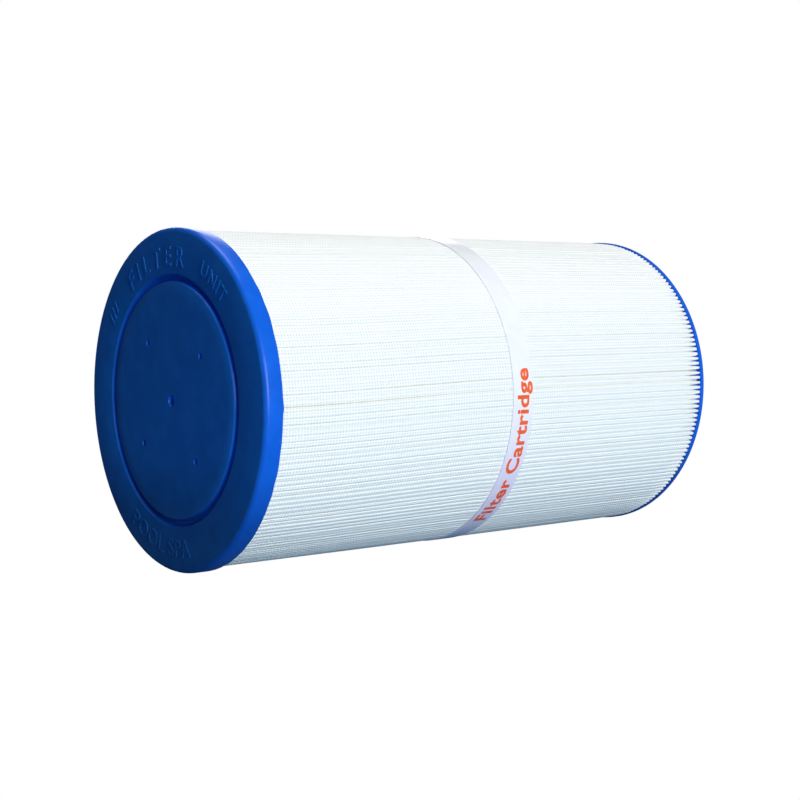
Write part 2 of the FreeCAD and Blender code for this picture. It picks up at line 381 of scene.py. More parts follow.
# %% [markdown]
# ### The glue seam
#
# Where the sheet's two ends meet, a bead of hot-melt glue runs down between two pleats, and a
# thin beige line shows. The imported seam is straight. The pleats here are twisted, so the bead is
# drawn again as a curve that follows its own gap, with a fine round section, and made a mesh.

# %% Glue seam
def glue_bead(name, line, start, thickness, depth):
    """A bead of glue that follows one gap from a place along the axis to the outlet's cap."""
    route = bpy.data.curves.new(name, "CURVE")
    route.dimensions = "3D"
    route.bevel_depth = thickness / 2
    route.bevel_resolution = 2
    route.use_fill_caps = True
    spline = route.splines.new("NURBS")
    steps = 30
    spline.points.add(steps)  # a new spline already has one point
    for s in range(steps + 1):
        x = start + (OPEN_BACK - start) * s / steps
        angle = fold_line(line, x)
        radius = TIP_RADIUS - depth - 0.12 * MM * wave(line, x, 30 * MM)
        spline.points[s].co = (x, radius * math.cos(angle), radius * math.sin(angle), 1)
    spline.order_u = 3
    spline.use_endpoint_u = True
    bead = bpy.data.objects.new(name, route)
    bpy.context.scene.collection.objects.link(bead)
    only(bead)
    bpy.ops.object.convert(target="MESH")
    bead = bpy.context.object
    smooth_by_angle(bead, 60)
    report(bead)
    return bead


glue_seam = glue_bead(
    "glue_seam", SEAM_LINE, start=CLOSED_BACK, thickness=0.56 * MM, depth=0.62 * MM
)
second_glue = glue_bead(
    "glue_second_edge", SECOND_LINE, start=-225 * MM, thickness=0.34 * MM, depth=0.50 * MM
)

# %% [markdown]
# ## The closed end cap
#
# The cap is polyurethane poured into a shallow mould. It shows what the mould had: a rounded
# outer edge, a ring-shaped groove, five little vent pits and raised words. A lathe profile spun
# round the axis would do for the disc. Insets are as quick and keep the face flat: a cylinder's
# end face is inset step by step, and each step may also sink.

# %% Disc and groove
CAP_SIDES = 256
FACE_BORDER = 8  # mm of face next to the rim
GROOVE_OUTER = 56.2  # mm, its outer radius
DISC_BORDER = 5  # mm of disc next to the groove
CAP_GROOVE = (  # each step in, and how much deeper it is, in mm
    (0.25, 0.06),
    (0.30, 0.34),
    (0.35, 0.70),
    (0.45, 0.85),
    (0.55, 0.50),
    (0.40, 0.12),
    (0.45, -0.12),
    (0.50, -0.60),
    (0.35, -0.90),
    (0.25, -0.65),
    (0.20, -0.24),
    (0.15, -0.06),
)
bpy.ops.object.select_all(action="DESELECT")
bpy.ops.mesh.primitive_cylinder_add(
    vertices=CAP_SIDES,
    radius=CAP_RADIUS,
    depth=CLOSED_BACK - CLOSED_FACE,
    location=((CLOSED_FACE + CLOSED_BACK) / 2, 0, 0),
    rotation=(0, -math.pi / 2, 0),
)
closed_cap = bpy.context.object
closed_cap.name = "closed_cap_casting"
settle_place(closed_cap)
pick(closed_cap, "FACE", lambda c, f: f.normal.x < -0.9)
bpy.ops.mesh.inset(thickness=FACE_BORDER * MM, depth=0)
bpy.ops.mesh.inset(thickness=CAP_RADIUS - FACE_BORDER * MM - GROOVE_OUTER * MM, depth=0)
for step, sink in CAP_GROOVE:
    bpy.ops.mesh.inset(thickness=step * MM, depth=-sink * MM)
bpy.ops.mesh.inset(thickness=DISC_BORDER * MM, depth=0)
bpy.ops.object.mode_set(mode="OBJECT")
report(closed_cap)

# %% [markdown]
# ### Rounded rims
#
# The front rim has the mould's full round of 2.2 mm, which catches a long soft highlight. The
# back rim is where the liquid met the pleats, so its edge is thinner and wanders a little as it
# climbs each fold. Bevels round both, and a smooth noise moves only the back edge.

# %% Round the rims
FRONT_ROUND = 2.2  # mm
BACK_ROUND = 0.5
CLIMB = 0.30  # mm that the back edge wanders
SEAM_CLIMB = 0.35  # mm that it climbs the glue
SEAM_REACH = 0.035  # radians to each side of the glue


def rim_edges(x):
    """A test for the edges of the outer rim at a place along the axis."""
    return lambda c, e: abs(c.x - x) < 0.01 * MM and from_axis(c) > CAP_RADIUS - 0.1 * MM


pick(closed_cap, "EDGE", rim_edges(CLOSED_FACE))
bpy.ops.mesh.bevel(offset=FRONT_ROUND * MM, segments=7, profile=0.5, affect="EDGES")
bpy.ops.object.mode_set(mode="OBJECT")
pick(closed_cap, "EDGE", rim_edges(CLOSED_BACK))
bpy.ops.mesh.bevel(offset=BACK_ROUND * MM, segments=3, profile=0.5, affect="EDGES")
bpy.ops.object.mode_set(mode="OBJECT")
for v in closed_cap.data.vertices:
    if v.co.x > CLOSED_BACK - 0.6 * MM and from_axis(v.co) > CAP_RADIUS - 2 * MM:
        angle = math.atan2(v.co.z, v.co.y)
        from_seam = (angle - fold_line(SEAM_LINE, CLOSED_BACK)) / SEAM_REACH
        climb = CLIMB * noise.noise(Vector((v.co.y, v.co.z, 0)) / (7 * MM))
        v.co.x += (climb + SEAM_CLIMB * math.exp(-(from_seam**2))) * MM
report(closed_cap)

# %% [markdown]
# ### Vent pits
#
# A pit is a small tapered dent. Booleans suit a few dents in a flat face, and they also leave
# the rest of the face alone: one tapered plug is modelled, copied to each place, and cut out.

# %% Vent pits
PIT_RING = 32.5 * MM
PIT_START_DEG = 51.0  # from +Y towards +Z
CENTRE_PIT = (2.7 * MM, 1.7 * MM)  # radius and depth
OUTER_PIT = (1.55 * MM, 1.2 * MM)


def pit_plug(y, z, radius, depth):
    """A rounded plug standing in the cap's face."""
    bpy.ops.object.select_all(action="DESELECT")
    bpy.ops.mesh.primitive_uv_sphere_add(
        segments=32,
        ring_count=16,
        radius=radius,
        location=(CLOSED_FACE, y, z),
        rotation=(0, math.pi / 2, 0),
    )
    plug = bpy.context.object
    plug.scale = (1, 1, depth / radius)
    settle_place(plug)
    return plug


plugs = [pit_plug(0, 0, *CENTRE_PIT)]
for n in range(4):
    angle = math.radians(PIT_START_DEG + 90 * n)
    plugs.append(pit_plug(PIT_RING * math.cos(angle), PIT_RING * math.sin(angle), *OUTER_PIT))
for plug in plugs:
    cut = closed_cap.modifiers.new("pit", "BOOLEAN")
    cut.operation = "DIFFERENCE"
    cut.solver = "EXACT"
    cut.object = plug
    apply_all(closed_cap)
    bpy.data.objects.remove(plug)
smooth_by_angle(closed_cap, 32)
report(closed_cap)

# %% [markdown]
# ### Raised words
#
# Words in the mould come out as low raised letters along the rim. Blender can set text along a
# circle by itself: the text follows a curve, is made a mesh while it's still flat, and only then
# is turned to face the closed end. The words here are plain ones that say what the part is.

# %% Raised words
LETTER_RISE = 0.20  # mm
LETTER_ROUND = 0.10  # mm, the rounding of their edges


def ring_words(words, name, size, radius, centre_deg, upright, spacing=1.12):
    """Raised words round the cap's face. centre_deg is from the top, clockwise as seen."""
    bpy.ops.object.select_all(action="DESELECT")
    bpy.ops.curve.primitive_bezier_circle_add(radius=radius)
    line = bpy.context.object
    line.data.resolution_u = 48
    if not upright:
        bpy.ops.object.mode_set(mode="EDIT")
        bpy.ops.curve.select_all(action="SELECT")
        bpy.ops.curve.switch_direction()
        bpy.ops.object.mode_set(mode="OBJECT")
    bpy.ops.object.text_add()
    text = bpy.context.object
    text.name = name
    text.data.body = words
    text.data.size = size
    text.data.space_character = spacing
    text.data.extrude = LETTER_RISE * MM
    text.data.bevel_depth = LETTER_ROUND * MM
    text.data.bevel_resolution = 2
    text.data.follow_curve = line
    bpy.context.view_layer.update()
    only(text)
    bpy.ops.object.convert(target="MESH")
    text = bpy.context.object
    bpy.data.objects.remove(line)
    angles = [math.atan2(v.co.y, v.co.x) for v in text.data.vertices]
    start = angles[0]
    spread = [(a - start + math.pi) % (2 * math.pi) - math.pi for a in angles]
    middle = start + (min(spread) + max(spread)) / 2
    wanted = math.pi / 2 - math.radians(centre_deg)
    text.data.transform(Matrix.Rotation(wanted - middle, 4, "Z"))
    text.rotation_euler = (math.pi / 2, 0, -math.pi / 2)
    text.location = (CLOSED_FACE, 0, 0)
    settle_place(text)
    smooth_by_angle(text, 30)
    report(text)
    return text


top_words = ring_words(
    "FILTER", "cap_words_top", 12.4 * MM, 59.4 * MM, centre_deg=-12, upright=True, spacing=1.42
)
marks = ring_words(
    "///", "cap_words_marks", 8.0 * MM, 62.0 * MM, centre_deg=-54, upright=True, spacing=1.3
)
side_words = ring_words(
    "UNIT", "cap_words_side", 9.0 * MM, 61.0 * MM, centre_deg=35, upright=True
)
low_words = ring_words(
    "POOL SPA", "cap_words_bottom", 11.2 * MM, 69.2 * MM, centre_deg=190, upright=False
)

# %% [markdown]
# ## The open end cap
#
# The outlet's cap is a ring of the same polyurethane, cast round the adaptor's flange. It is
# thinner than the closed cap and hardly stands out past the pleats. It starts as a cylinder with
# no ends: the two end loops are pulled in to the flange and bridged through the hole. The rim
# starts late on the outside, so that the pleats' pointed ends show in front of the blue.

# %% Open cap
FLANGE_RADIUS = 31.0 * MM
RIM_BACK = OPEN_BACK + 2.4 * MM
OPEN_ROUND = 0.9 * MM
bpy.ops.object.select_all(action="DESELECT")
bpy.ops.mesh.primitive_cylinder_add(
    vertices=CAP_SIDES,
    radius=OPEN_RADIUS,
    depth=OPEN_FACE - RIM_BACK,
    end_fill_type="NOTHING",
    location=((OPEN_FACE + RIM_BACK) / 2, 0, 0),
    rotation=(0, math.pi / 2, 0),
)
open_cap = bpy.context.object
open_cap.name = "open_cap_casting"
settle_place(open_cap)


def draw_in(piece, x, steps):
    """Extrudes the loop at x inwards: each step goes to a radius, and along the axis by a rise."""
    radius = OPEN_RADIUS
    pick(piece, "VERT", lambda c, v: abs(c.x - x) < 0.01 * MM)
    for target, rise in steps:
        factor = target * MM / radius
        bpy.ops.mesh.extrude_edges_move()
        bpy.ops.transform.resize(value=(1, factor, factor), center_override=(0, 0, 0))
        bpy.ops.transform.translate(value=(rise * MM, 0, 0))
        radius = target * MM
    bpy.ops.object.mode_set(mode="OBJECT")


OPEN_FACE_STEPS = (  # the radius of each loop, and its step along the axis, in mm
    (66.0, 0.0),
    (65.2, -0.45),
    (63.4, -0.70),
    (61.6, 0.70),
    (60.8, 0.45),
    (36.5, 0.0),
    (35.4, 0.16),
    (32.2, 0.16),
    (31.0, -0.32),
)
draw_in(open_cap, OPEN_FACE, OPEN_FACE_STEPS)
BACK_STEPS = ((60.0, 0.0), (59.0, -2.4), (31.0, 0.0))
draw_in(open_cap, RIM_BACK, BACK_STEPS)
pick(open_cap, "VERT", lambda c, v: abs(from_axis(c) - FLANGE_RADIUS) < 0.05 * MM)
bpy.ops.mesh.bridge_edge_loops()
bpy.ops.mesh.select_all(action="SELECT")
bpy.ops.mesh.normals_make_consistent(inside=False)
bpy.ops.object.mode_set(mode="OBJECT")
pick(
    open_cap,
    "EDGE",
    lambda c, e: abs(c.x - OPEN_FACE) < 0.01 * MM and from_axis(c) > OPEN_RADIUS - 0.1 * MM,
)
bpy.ops.mesh.bevel(offset=OPEN_ROUND, segments=5, profile=0.5, affect="EDGES")
bpy.ops.object.mode_set(mode="OBJECT")
smooth_by_angle(open_cap, 35)
report(open_cap)

# %% [markdown]
# ## The band and its print
#
# The band is a thin strip of pearly plastic, welded where it laps on the far side. Its packed
# solid has the right shape, so it stays and only gets a finish. The print on it is new: flat
# letters are made a mesh, cut finely, and bent round by a Simple Deform modifier, the way a
# sticker is wrapped on a drum. The angle is the print's length divided by the drum's radius.

# %% Print on the band
FIRST_WORD_DEG = (-54.0, -31.5)  # where it starts and ends, from -Y upwards
SECOND_WORD_DEG = (-29.0, 10.0)
PRINT_HEIGHT = 7.0 * MM  # from the baseline to the top of a capital
CAPITAL_SHARE = 0.72  # of the font's size
BASELINE = BAND_END - 2.6 * MM
PRINT_WEIGHT = 0.29 * MM  # how much the strokes are thickened on each side
INK = 0.02 * MM
PRINT_LIFT = 0.035 * MM
CUT_EVERY = 1.2 * MM  # the letters are cut this finely, so that they bend smoothly


def wrapped_print(words, name, start_deg, end_deg):
    """Words wrapped round the band between two angles from -Y, reading upwards."""
    radius = BAND_RADIUS + PRINT_LIFT
    bpy.ops.object.select_all(action="DESELECT")
    bpy.ops.object.text_add()
    text = bpy.context.object
    text.name = name
    text.data.body = words
    text.data.size = PRINT_HEIGHT / CAPITAL_SHARE
    text.data.offset = PRINT_WEIGHT
    text.data.space_character = 1.06
    text.data.extrude = INK
    text.data.resolution_u = 6
    bpy.ops.object.convert(target="MESH")
    text = bpy.context.object
    low = min(v.co.x for v in text.data.vertices)
    high = max(v.co.x for v in text.data.vertices)
    length = radius * math.radians(end_deg - start_deg)
    stretch = length / (high - low)
    begin = radius * math.radians(start_deg)
    for v in text.data.vertices:
        v.co.x = begin + (v.co.x - low) * stretch
    print(name, "stretched by", round(stretch, 3))
    text.rotation_euler = (math.pi / 2, -math.pi / 2, 0)
    settle_place(text)
    only(text)
    bpy.ops.object.mode_set(mode="EDIT")
    bpy.ops.mesh.select_all(action="SELECT")
    bpy.ops.mesh.remove_doubles(threshold=1e-7)
    for n in range(int(length / CUT_EVERY) + 1):
        bpy.ops.mesh.select_all(action="SELECT")
        bpy.ops.mesh.bisect(plane_co=(0, 0, begin + n * CUT_EVERY), plane_no=(0, 0, 1))
    bpy.ops.object.mode_set(mode="OBJECT")
    zs = [v.co.z for v in text.data.vertices]
    bend = text.modifiers.new("wrap", "SIMPLE_DEFORM")
    bend.deform_method = "BEND"
    bend.deform_axis = "X"
    bend.angle = (max(zs) - min(zs)) / radius
    apply_all(text)
    text.data.transform(Matrix.Translation((BASELINE, -radius, 0)))
    report(text)
    far = [from_axis(v.co) / MM for v in text.data.vertices]
    print("print lies between", round(min(far), 3), "and", round(max(far), 3), "mm")
    return text


first_word = wrapped_print("Filter", "band_print_first", *FIRST_WORD_DEG)
second_word = wrapped_print("Cartridge", "band_print_second", *SECOND_WORD_DEG)

# %% [markdown]
# ## What the new pieces stand for
#
# Every piece rides on the one body that the imported model has, is listed with a slot name of the
# record, and hides the imported node that it stands for.

# %% Ride, slots and stand-ins
BODY = list(frame["bodies"])[0]
NEW_PIECES = (
    (pleated_sheet, "pleat_fabric", "pleated_media"),
    (glue_seam, "hot_melt", "media_seam"),
    (second_glue, "hot_melt", None),
    (closed_cap, "blue_cap", "closed_end_cap"),
    (open_cap, "blue_cap", "open_end_cap"),
    (top_words, "blue_cap", None),
    (side_words, "blue_cap", None),
    (marks, "blue_cap", None),
    (low_words, "blue_cap", None),
    (first_word, "band_plastic", None),
    (second_word, "band_plastic", None),
)
for piece, slot, node in NEW_PIECES:
    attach(piece, BODY)
    if node:
        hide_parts(node)
print("pieces ride on", BODY)

# %% [markdown]
# ## Finishes
#
# First come two effects that several finishes share, as node groups. Cloudy tone is the faint
# mottle that any cast or moulded plastic has. Fine grain is the small unevenness that breaks up
# a highlight. Both read a piece's own coordinates, so they stay put when it moves.

# %% Shared effects
def effect_group(name, inputs, outputs):
    """An empty node group with named inputs and outputs."""
    group = bpy.data.node_groups.new(name, "ShaderNodeTree")
    for label, kind, value in inputs:
        socket = group.interface.new_socket(label, in_out="INPUT", socket_type=kind)
        if value is not None:
            socket.default_value = value
    for label, kind in outputs:
        group.interface.new_socket(label, in_out="OUTPUT", socket_type=kind)
    return group


def node(tree, kind, x, y, **values):
    """A node at a place on the board, with its settings."""
    made = tree.nodes.new(kind)
    made.location = (x, y)
    for key, value in values.items():
        setattr(made, key, value)
    return made


COLOUR, NUMBER, VECTOR = "NodeSocketColor", "NodeSocketFloat", "NodeSocketVector"

cloudy = effect_group(
    "cloudy_tone",
    [
        ("Place", VECTOR, None),
        ("Colour", COLOUR, (0.5, 0.5, 0.5, 1)),
        ("Second colour", COLOUR, (0.4, 0.4, 0.4, 1)),
        ("Patch size", NUMBER, 60.0),
        ("Strength", NUMBER, 0.5),
    ],
    [("Colour", COLOUR), ("Mask", NUMBER)],
)
into = node(cloudy, "NodeGroupInput", -600, 0)
big = node(cloudy, "ShaderNodeTexNoise", -400, 80)
big.inputs["Detail"].default_value = 4.0
big.inputs["Roughness"].default_value = 0.55
spread = node(cloudy, "ShaderNodeMapRange", -200, 80)
spread.inputs["From Min"].default_value = 0.35
spread.inputs["From Max"].default_value = 0.65
amount = node(cloudy, "ShaderNodeMath", 0, 80, operation="MULTIPLY")
blend = node(cloudy, "ShaderNodeMix", 180, 0, data_type="RGBA")
out = node(cloudy, "NodeGroupOutput", 380, 0)
cloudy.links.new(into.outputs["Place"], big.inputs["Vector"])
cloudy.links.new(into.outputs["Patch size"], big.inputs["Scale"])
cloudy.links.new(big.outputs["Fac"], spread.inputs["Value"])
cloudy.links.new(spread.outputs["Result"], amount.inputs[0])
cloudy.links.new(into.outputs["Strength"], amount.inputs[1])
cloudy.links.new(amount.outputs[0], blend.inputs["Factor"])
cloudy.links.new(into.outputs["Colour"], blend.inputs["A"])
cloudy.links.new(into.outputs["Second colour"], blend.inputs["B"])
cloudy.links.new(blend.outputs["Result"], out.inputs["Colour"])
cloudy.links.new(spread.outputs["Result"], out.inputs["Mask"])

grain = effect_group(
    "fine_grain",
    [
        ("Place", VECTOR, None),
        ("Grain size", NUMBER, 1500.0),
        ("Roughness", NUMBER, 0.4),
        ("Variation", NUMBER, 0.1),
    ],
    [("Roughness", NUMBER), ("Height", NUMBER)],
)
into = node(grain, "NodeGroupInput", -600, 0)
fine = node(grain, "ShaderNodeTexNoise", -400, 100)
fine.inputs["Detail"].default_value = 3.0
shift = node(grain, "ShaderNodeMath", -200, 100, operation="SUBTRACT")
shift.inputs[1].default_value = 0.5
scale = node(grain, "ShaderNodeMath", 0, 100, operation="MULTIPLY")
total = node(grain, "ShaderNodeMath", 180, 0, operation="ADD")
out = node(grain, "NodeGroupOutput", 380, 0)
grain.links.new(into.outputs["Place"], fine.inputs["Vector"])
grain.links.new(into.outputs["Grain size"], fine.inputs["Scale"])
grain.links.new(fine.outputs["Fac"], shift.inputs[0])
grain.links.new(shift.outputs[0], scale.inputs[0])
grain.links.new(into.outputs["Variation"], scale.inputs[1])
grain.links.new(scale.outputs[0], total.inputs[0])
grain.links.new(into.outputs["Roughness"], total.inputs[1])
grain.links.new(total.outputs[0], out.inputs["Roughness"])
grain.links.new(fine.outputs["Fac"], out.inputs["Height"])
print("effects", [g.name for g in bpy.data.node_groups])


# %% [markdown]
# ### One way to build a plastic
#
# Blue polyurethane, pearly band, print, core, adaptor, glue and gasket are all the same kind of
# board: cloudy tone feeds the colour, fine grain feeds roughness and bump, and numbers that are
# the same all over the surface sit on the shader itself. So one function lays that board, and
# each finish gives its own values. The plain finishes come first: the core's and adaptor's white
# plastics, the gasket's dull rubber, the glue, and the ink on the band.

# %% Plastic board and the plain finishes
def plastic(
    name,
    colour,
    second,
    patch,
    tone,
    rough,
    variation,
    grain_size,
    bump_mm,
    specular=0.5,
):
    """A moulded or cast plastic with mottled tone, uneven gloss and a fine bump."""
    material = bpy.data.materials.new(name)
    material.use_nodes = True
    tree = material.node_tree
    shader = tree.nodes["Principled BSDF"]
    place = node(tree, "ShaderNodeTexCoord", -900, 0)
    tones = node(tree, "ShaderNodeGroup", -600, 150, node_tree=cloudy)
    tones.inputs["Colour"].default_value = (*colour, 1)
    tones.inputs["Second colour"].default_value = (*second, 1)
    tones.inputs["Patch size"].default_value = patch
    tones.inputs["Strength"].default_value = tone
    grains = node(tree, "ShaderNodeGroup", -600, -150, node_tree=grain)
    grains.inputs["Grain size"].default_value = grain_size
    grains.inputs["Roughness"].default_value = rough
    grains.inputs["Variation"].default_value = variation
    bump = node(tree, "ShaderNodeBump", -300, -250)
    bump.inputs["Distance"].default_value = bump_mm * MM
    bump.inputs["Strength"].default_value = 0.6
    tree.links.new(place.outputs["Object"], tones.inputs["Place"])
    tree.links.new(place.outputs["Object"], grains.inputs["Place"])
    tree.links.new(tones.outputs["Colour"], shader.inputs["Base Color"])
    tree.links.new(grains.outputs["Roughness"], shader.inputs["Roughness"])
    tree.links.new(grains.outputs["Height"], bump.inputs["Height"])
    tree.links.new(bump.outputs["Normal"], shader.inputs["Normal"])
    shader.inputs["Specular IOR Level"].default_value = specular
    return material


core_white = plastic(
    "core_white_plastic",
    colour=(0.80, 0.81, 0.80),
    second=(0.72, 0.73, 0.73),
    patch=50.0,
    tone=0.5,
    rough=0.42,
    variation=0.15,
    grain_size=1800.0,
    bump_mm=0.02,
)
adaptor_white = plastic(
    "adaptor_white_plastic",
    colour=(0.86, 0.87, 0.87),
    second=(0.78, 0.79, 0.80),
    patch=40.0,
    tone=0.5,
    rough=0.30,
    variation=0.15,
    grain_size=1600.0,
    bump_mm=0.015,
)
gasket_black = plastic(
    "gasket_black_rubber",
    colour=(0.020, 0.020, 0.021),
    second=(0.035, 0.034, 0.033),
    patch=90.0,
    tone=0.7,
    rough=0.62,
    variation=0.2,
    grain_size=2200.0,
    bump_mm=0.04,
)
glue_beige = plastic(
    "glue_beige",
    colour=(0.74, 0.69, 0.52),
    second=(0.60, 0.54, 0.40),
    patch=400.0,
    tone=0.7,
    rough=0.45,
    variation=0.2,
    grain_size=2500.0,
    bump_mm=0.05,
)
print_orange = plastic(
    "print_orange_ink",
    colour=(0.92, 0.105, 0.018),
    second=(0.95, 0.16, 0.035),
    patch=220.0,
    tone=0.8,
    rough=0.42,
    variation=0.15,
    grain_size=3000.0,
    bump_mm=0.01,
)
print("plain finishes", [m.name for m in bpy.data.materials])


# %% [markdown]
# ### Painted shade on the cap's face and towards the bottom
#
# Both castings are one blue polyurethane. The closed cap's face gets painted shade, a little
# greener and duller than its rim, and both castings get painted shade that deepens their tone
# towards the bottom. Separate materials would leave hard edges. Two soft masks, read from the
# piece's own coordinates, give one blue both differences.

# %% Blue polyurethane
def over_base_colour(material):
    """The board, shader and colour of a plastic, and a split of the piece's own coordinates."""
    tree = material.node_tree
    shader = tree.nodes["Principled BSDF"]
    base = shader.inputs["Base Color"].links[0].from_socket
    spot = node(tree, "ShaderNodeTexCoord", -900, 500)
    parts = node(tree, "ShaderNodeSeparateXYZ", -700, 500)
    tree.links.new(spot.outputs["Object"], parts.inputs["Vector"])
    return tree, shader, base, parts


# painted shade: the closed face is tinted greener and duller, as it looks in its shade
PAINTED_FACE_SHADE_TINT = (1.6, 1.25, 0.86, 1)
# painted shade: both castings are darkened towards the bottom, down to this share
PAINTED_UNDERSIDE_SHADE = 0.62

blue_cast = plastic(
    "blue_cast_polyurethane",
    colour=(0.005, 0.112, 0.66),
    second=(0.008, 0.136, 0.76),
    patch=90.0,
    tone=0.8,
    rough=0.33,
    variation=0.18,
    grain_size=1400.0,
    bump_mm=0.04,
    specular=0.20,
)
tree, shader, plain_blue, parts = over_base_colour(blue_cast)
# painted shade on the closed face: a mask of the face and the words on it
painted_face_shade_mask = node(tree, "ShaderNodeMapRange", -500, 600)
painted_face_shade_mask.inputs["From Min"].default_value = CLOSED_FACE + 0.4 * MM
painted_face_shade_mask.inputs["From Max"].default_value = CLOSED_FACE + 0.1 * MM
painted_face_shade = node(tree, "ShaderNodeMix", -300, 550, data_type="RGBA", blend_type="MULTIPLY")
painted_face_shade.inputs["B"].default_value = PAINTED_FACE_SHADE_TINT
# painted shade: darker towards the bottom of both castings
painted_underside_shade_mask = node(tree, "ShaderNodeMapRange", -500, 350, interpolation_type="SMOOTHSTEP")
painted_underside_shade_mask.inputs["From Min"].default_value = -0.80 * CAP_RADIUS
painted_underside_shade_mask.inputs["From Max"].default_value = -0.20 * CAP_RADIUS
painted_underside_shade_mask.inputs["To Min"].default_value = PAINTED_UNDERSIDE_SHADE
# multiplies the painted shade towards the bottom into the face's colour
painted_shade_mix = node(tree, "ShaderNodeMix", -100, 450, data_type="RGBA", blend_type="MULTIPLY")
painted_shade_mix.inputs["Factor"].default_value = 1.0
tree.links.new(parts.outputs["X"], painted_face_shade_mask.inputs["Value"])
tree.links.new(parts.outputs["Z"], painted_underside_shade_mask.inputs["Value"])
tree.links.new(painted_face_shade_mask.outputs["Result"], painted_face_shade.inputs["Factor"])
tree.links.new(plain_blue, painted_face_shade.inputs["A"])
tree.links.new(painted_face_shade.outputs["Result"], painted_shade_mix.inputs["A"])
tree.links.new(painted_underside_shade_mask.outputs["Result"], painted_shade_mix.inputs["B"])
tree.links.new(painted_shade_mix.outputs["Result"], shader.inputs["Base Color"])
print(blue_cast.name, "has", len(blue_cast.node_tree.nodes), "nodes")

# %% [markdown]
# ### Pearly band
#
# The band's strip has a faint lilac sheen that shows most where it turns away below. A coat or a
# thin film would change with the view. A lilac that grows downwards, multiplied into the plain
# colour, stays with the piece and is enough here.

# %% Pearly plastic
LILAC = (0.95, 0.83, 0.98, 1)

band_pearl = plastic(
    "band_pearl_plastic",
    colour=(0.92, 0.945, 0.98),
    second=(0.89, 0.88, 0.97),
    patch=120.0,
    tone=0.7,
    rough=0.32,
    variation=0.2,
    grain_size=1200.0,
    bump_mm=0.03,
)
tree, shader, pearl, parts = over_base_colour(band_pearl)
down = node(tree, "ShaderNodeMapRange", -500, 500, interpolation_type="SMOOTHSTEP")
down.inputs["From Min"].default_value = 20 * MM
down.inputs["From Max"].default_value = -55 * MM
lilac = node(tree, "ShaderNodeMix", -200, 400, data_type="RGBA", blend_type="MULTIPLY")
lilac.inputs["B"].default_value = LILAC
tree.links.new(parts.outputs["Z"], down.inputs["Value"])
tree.links.new(down.outputs["Result"], lilac.inputs["Factor"])
tree.links.new(pearl, lilac.inputs["A"])
tree.links.new(lilac.outputs["Result"], shader.inputs["Base Color"])
print(band_pearl.name, "has", len(band_pearl.node_tree.nodes), "nodes")

# %% [markdown]
# ### The polyester
#
# Spunbond polyester is a felt of fine threads, pressed between rollers that leave rows of dots.
# It is matt and very white. The dots and threads read the cloth's own map, so they run over every
# fold. Points drawn straight onto the drum would smear down the flanks. A slight tone per fold
# comes from the second layer.

# %% Polyester
DOT_PITCH = 1.5  # mm between embossed dots
DOT_TINT = (0.77, 0.84, 0.885, 1)
WHITES = ((0.93, 0.942, 0.925, 1), (0.965, 0.968, 0.945, 1))  # the fold's tone lies between

polyester = bpy.data.materials.new("white_spunbond_polyester")
polyester.use_nodes = True
tree = polyester.node_tree
shader = tree.nodes["Principled BSDF"]
flat = node(tree, "ShaderNodeUVMap", -1300, 0, uv_map="cloth_mm")
number = node(tree, "ShaderNodeUVMap", -1300, 300, uv_map="fold_number")
split = node(tree, "ShaderNodeSeparateXYZ", -1100, 300)
only_fold = node(tree, "ShaderNodeMath", -900, 300, operation="MULTIPLY")
only_fold.inputs[1].default_value = float(PLEATS)
per_fold_tone = node(tree, "ShaderNodeTexWhiteNoise", -700, 300, noise_dimensions="1D")
dots = node(tree, "ShaderNodeTexVoronoi", -1000, -200, feature="F1", voronoi_dimensions="2D")
dots.inputs["Scale"].default_value = 1 / DOT_PITCH
dots.inputs["Randomness"].default_value = 0.12
dent = node(tree, "ShaderNodeMapRange", -800, -200, interpolation_type="SMOOTHSTEP")
dent.inputs["From Min"].default_value = 0.12
dent.inputs["From Max"].default_value = 0.40
threads = node(tree, "ShaderNodeTexNoise", -1000, -450, noise_dimensions="2D")
threads.inputs["Scale"].default_value = 5.0
threads.inputs["Detail"].default_value = 5.0
threads.inputs["Roughness"].default_value = 0.7
soft = node(tree, "ShaderNodeTexNoise", -1000, 60, noise_dimensions="2D")
soft.inputs["Scale"].default_value = 0.06
soft.inputs["Detail"].default_value = 3.0
felt = node(tree, "ShaderNodeMath", -600, -350, operation="MULTIPLY_ADD")
felt.inputs[1].default_value = 0.45
tone = node(tree, "ShaderNodeMix", -500, 200, data_type="RGBA")
tone.inputs["A"].default_value = WHITES[0]
tone.inputs["B"].default_value = WHITES[1]
dark_dots = node(tree, "ShaderNodeMix", -250, 150, data_type="RGBA", blend_type="MULTIPLY")
dark_dots.inputs["Factor"].default_value = 1.0
dot_colour = node(tree, "ShaderNodeMix", -500, -50, data_type="RGBA")
dot_colour.inputs["A"].default_value = DOT_TINT
dot_colour.inputs["B"].default_value = (1, 1, 1, 1)
mixed = node(tree, "ShaderNodeMath", -600, 250, operation="MULTIPLY_ADD")
mixed.inputs[1].default_value = 0.6
bump = node(tree, "ShaderNodeBump", -300, -350)
bump.inputs["Distance"].default_value = 0.22 * MM
bump.inputs["Strength"].default_value = 0.7
tree.links.new(number.outputs["UV"], split.inputs["Vector"])
tree.links.new(split.outputs["X"], only_fold.inputs[0])
tree.links.new(only_fold.outputs[0], per_fold_tone.inputs["W"])
tree.links.new(flat.outputs["UV"], dots.inputs["Vector"])
tree.links.new(flat.outputs["UV"], threads.inputs["Vector"])
tree.links.new(flat.outputs["UV"], soft.inputs["Vector"])
tree.links.new(dots.outputs["Distance"], dent.inputs["Value"])
tree.links.new(per_fold_tone.outputs["Value"], mixed.inputs[0])
tree.links.new(soft.outputs["Fac"], mixed.inputs[2])
tree.links.new(mixed.outputs[0], tone.inputs["Factor"])
tree.links.new(dent.outputs["Result"], dot_colour.inputs["Factor"])
